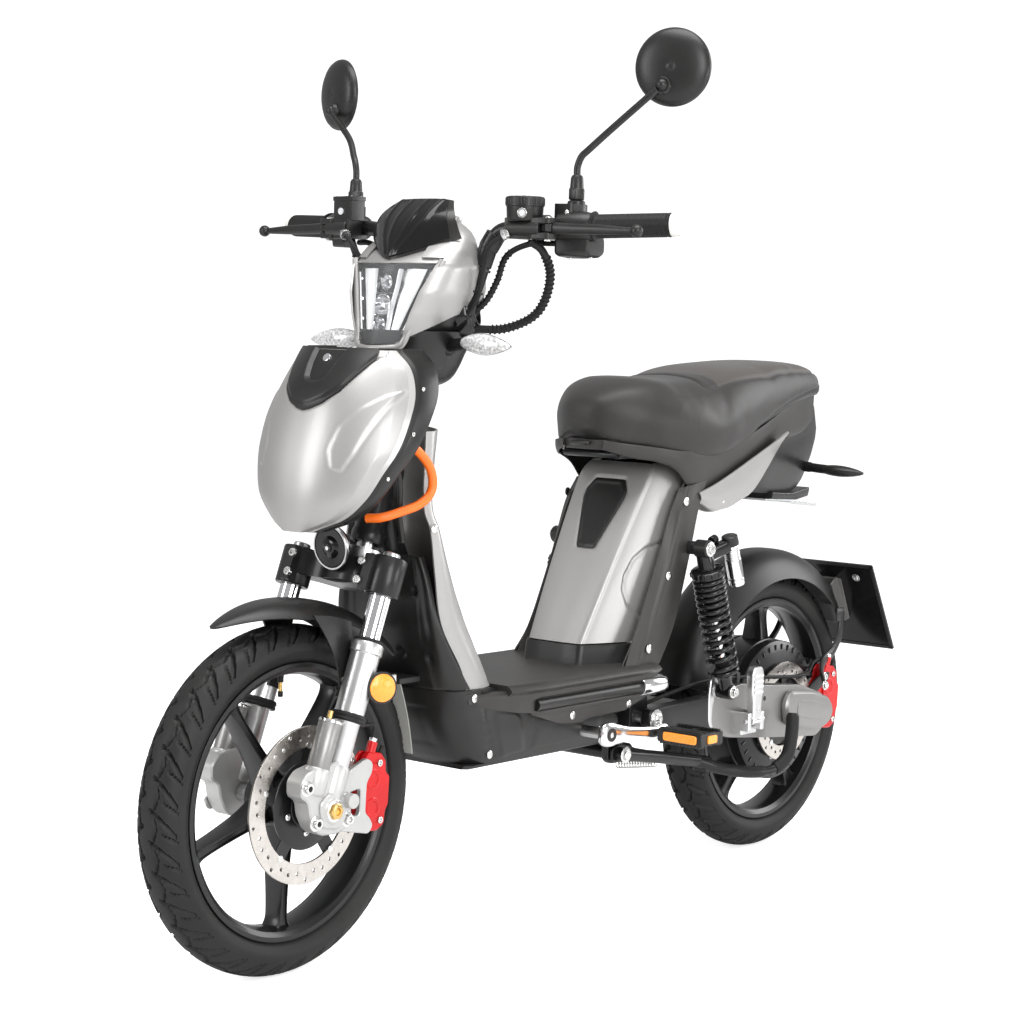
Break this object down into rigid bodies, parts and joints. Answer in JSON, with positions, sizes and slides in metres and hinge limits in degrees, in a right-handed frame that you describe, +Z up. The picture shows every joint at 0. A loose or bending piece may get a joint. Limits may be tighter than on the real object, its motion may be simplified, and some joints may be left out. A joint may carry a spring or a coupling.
{
  "type": "moped scooter",
  "caption": "Step-through electric moped scooter with pedals, front and rear suspension, disc brakes, a battery box under the seat, mirrors and a centre stand.",
  "frame": {"origin": "on the ground under the middle of the vehicle's length, on its centre plane", "axes": "+Z up, the front wheel towards -Y, the rider's left towards +X"},
  "size_m": [0.7356, 1.6986, 1.3023],
  "materials": {
    "silver_panel": "satin metallic silver-grey paint on plastic",
    "black_plastic": "fine textured black",
    "grey_plastic": "charcoal textured",
    "frame_steel": "semi-gloss black powder coat",
    "alloy": "satin cast alloy",
    "cast_wheel": "satin black cast wheel",
    "chrome": "polished",
    "tyre": "dull black rubber",
    "rubber": "matt ribbed rubber",
    "red_caliper": "gloss red",
    "brushed_steel": "brushed",
    "seat_vinyl": "matt dark grey grained vinyl",
    "smoked_screen": "smoked gloss",
    "clear_lens": "clear polycarbonate",
    "red_lens": "red translucent",
    "swingarm_grey": "satin silver-grey",
    "battery_case": "dark case",
    "chain_steel": "oiled dark steel"
  },
  "bodies": {
    "frame": {"main_frame": "frame_steel", "front_cover": "silver_panel", "front_cover_back": "black_plastic", "leg_shield": "silver_panel", "lower_fairing": "black_plastic", "footboard": "grey_plastic", "battery_cover": "silver_panel", "battery_pack": "battery_case", "side_panel_left": "grey_plastic", "side_panel_right": "grey_plastic", "underseat_shell": "grey_plastic", "tail_cover": "silver_panel", "tail_light_cluster": "red_lens", "drive_chain": "chain_steel"},
    "steering": {"steering_stem": "frame_steel", "fork_stanchion_left": "chrome", "fork_stanchion_right": "chrome", "handlebar": "frame_steel", "grip_left": "rubber", "switchgear_left": "black_plastic", "brake_perch_right": "black_plastic", "headlight_nacelle": "silver_panel", "nacelle_back": "black_plastic", "windscreen": "smoked_screen", "headlight_lens": "clear_lens"},
    "throttle": {"throttle_grip": "rubber"},
    "horn_switch": {"horn_button": "black_plastic"},
    "brake_lever_l": {"brake_lever_left": "black_plastic"},
    "brake_lever_r": {"brake_lever_right": "black_plastic"},
    "mirror_arm_l": {"mirror_stem_left": "black_plastic"},
    "mirror_arm_r": {"mirror_stem_right": "black_plastic"},
    "mirror_l": {"mirror_head_left": "black_plastic"},
    "mirror_r": {"mirror_head_right": "black_plastic"},
    "fork_lower": {"fork_slider_left": "alloy", "fork_slider_right": "alloy", "front_fender": "black_plastic", "front_caliper": "red_caliper", "front_axle": "brushed_steel"},
    "front_wheel": {"front_tyre": "tyre", "front_rim": "cast_wheel", "front_disc": "brushed_steel"},
    "rear_arm": {"swingarm": "swingarm_grey", "rear_fender": "black_plastic", "number_plate": "black_plastic", "rear_caliper": "red_caliper", "rear_axle": "brushed_steel"},
    "rear_wheel": {"rear_tyre": "tyre", "rear_hub_motor": "cast_wheel", "rear_disc": "brushed_steel"},
    "shock_l": {"shock_body_left": "black_plastic"},
    "shock_r": {"shock_body_right": "black_plastic"},
    "shock_rod_l": {"shock_rod_left": "chrome"},
    "shock_rod_r": {"shock_rod_right": "chrome"},
    "stand": {"centre_stand": "frame_steel"},
    "peg_l": {"peg_left": "alloy"},
    "peg_r": {"peg_right": "alloy"},
    "crank": {"crankset": "alloy"},
    "pedal_l": {"pedal_left": "black_plastic"},
    "pedal_r": {"pedal_right": "black_plastic"},
    "saddle": {"seat": "seat_vinyl"}
  },
  "joints": [
    {"name": "steering_turn", "type": "hinge", "parent": "frame", "child": "steering", "pos_m": [0, -0.4679, 0.51811], "axis": [0, 0.3502, 0.9367], "range_deg": [-38, 38]},
    {"name": "fork_travel", "type": "slide", "parent": "steering", "child": "fork_lower", "axis": [0, 0.3502, 0.9367], "range_m": [-0.008, 0.03]},
    {"name": "front_wheel_spin", "type": "hinge", "parent": "fork_lower", "child": "front_wheel", "pos_m": [0, -0.60925, 0.24], "axis": [1, 0, 0], "continuous": true},
    {"name": "swingarm_travel", "type": "hinge", "parent": "frame", "child": "rear_arm", "pos_m": [0, 0.09075, 0.285], "axis": [1, 0, 0], "range_deg": [-2, 4.5], "deforming": ["drive_chain"]},
    {"name": "rear_wheel_spin", "type": "hinge", "parent": "rear_arm", "child": "rear_wheel", "pos_m": [0, 0.54775, 0.24], "axis": [1, 0, 0], "continuous": true},
    {"name": "crank_spin", "type": "hinge", "parent": "frame", "child": "crank", "pos_m": [0, -0.04925, 0.28], "axis": [1, 0, 0], "continuous": true},
    {"name": "pedal_spin_left", "type": "hinge", "parent": "crank", "child": "pedal_l", "pos_m": [0.18, 0.09075, 0.268], "axis": [1, 0, 0], "continuous": true},
    {"name": "pedal_spin_right", "type": "hinge", "parent": "crank", "child": "pedal_r", "pos_m": [-0.18, -0.18925, 0.292], "axis": [1, 0, 0], "continuous": true},
    {"name": "brake_lever_left_pull", "type": "hinge", "parent": "steering", "child": "brake_lever_l", "pos_m": [0.206, -0.31625, 1.023], "axis": [0, 0, 1], "range_deg": [0, 13]},
    {"name": "brake_lever_right_pull", "type": "hinge", "parent": "steering", "child": "brake_lever_r", "pos_m": [-0.206, -0.31625, 1.023], "axis": [0, 0, -1], "range_deg": [0, 13]},
    {"name": "throttle_twist", "type": "hinge", "parent": "steering", "child": "throttle", "pos_m": [-0.28338, -0.25541, 1.0285], "axis": [-0.9559, 0.2922, 0.03], "range_deg": [0, 70]},
    {"name": "horn_button_press", "type": "slide", "parent": "steering", "child": "horn_switch", "axis": [0, -1, 0], "range_m": [0, 0.002]},
    {"name": "mirror_left_swivel", "type": "hinge", "parent": "steering", "child": "mirror_arm_l", "pos_m": [0.209, -0.25825, 1.064], "axis": [0, 0, 1], "range_deg": [-20, 20]},
    {"name": "mirror_right_swivel", "type": "hinge", "parent": "steering", "child": "mirror_arm_r", "pos_m": [-0.209, -0.25825, 1.064], "axis": [0, 0, 1], "range_deg": [-20, 20]},
    {"name": "mirror_left_tilt", "type": "hinge", "parent": "mirror_arm_l", "child": "mirror_l", "pos_m": [0.31221, -0.2078, 1.223], "axis": [0.9397, 0.342, 0], "range_deg": [-10, 10]},
    {"name": "mirror_right_tilt", "type": "hinge", "parent": "mirror_arm_r", "child": "mirror_r", "pos_m": [-0.31221, -0.2078, 1.207], "axis": [0.9397, -0.342, 0], "range_deg": [-10, 10]},
    {"name": "centre_stand_swing", "type": "hinge", "parent": "frame", "child": "stand", "pos_m": [0, 0.06275, 0.228], "axis": [-1, 0, 0], "range_deg": [0, 92]},
    {"name": "peg_left_fold", "type": "hinge", "parent": "rear_arm", "child": "peg_l", "pos_m": [0.1535, 0.31875, 0.262], "axis": [0, 1, 0], "range_deg": [0, 88]},
    {"name": "peg_right_fold", "type": "hinge", "parent": "rear_arm", "child": "peg_r", "pos_m": [-0.1535, 0.31875, 0.262], "axis": [0, -1, 0], "range_deg": [0, 88]},
    {"name": "seat_open", "type": "hinge", "parent": "frame", "child": "saddle", "pos_m": [0, 0.01875, 0.702], "axis": [1, 0, 0], "range_deg": [0, 65]},
    {"name": "shock_left_swivel", "type": "hinge", "parent": "frame", "child": "shock_l", "pos_m": [0.142, 0.17725, 0.547], "axis": [1, 0, 0], "range_deg": [-0.6, 1]},
    {"name": "shock_left_stroke", "type": "slide", "parent": "shock_l", "child": "shock_rod_l", "axis": [0, 0.3174, -0.9483], "range_m": [-0.018, 0.009]},
    {"name": "shock_right_swivel", "type": "hinge", "parent": "frame", "child": "shock_r", "pos_m": [-0.142, 0.17725, 0.547], "axis": [1, 0, 0], "range_deg": [-0.6, 1]},
    {"name": "shock_right_stroke", "type": "slide", "parent": "shock_r", "child": "shock_rod_r", "axis": [0, 0.3174, -0.9483], "range_m": [-0.018, 0.009]}
  ],
  "couplings": [
    {"joint": "shock_left_swivel", "follows": "swingarm_travel", "ratio": 0.10061},
    {"joint": "shock_left_stroke", "follows": "swingarm_travel", "m_per_rad": -0.1652},
    {"joint": "shock_right_swivel", "follows": "swingarm_travel", "ratio": 0.10061},
    {"joint": "shock_right_stroke", "follows": "swingarm_travel", "m_per_rad": -0.1652}
  ]
}
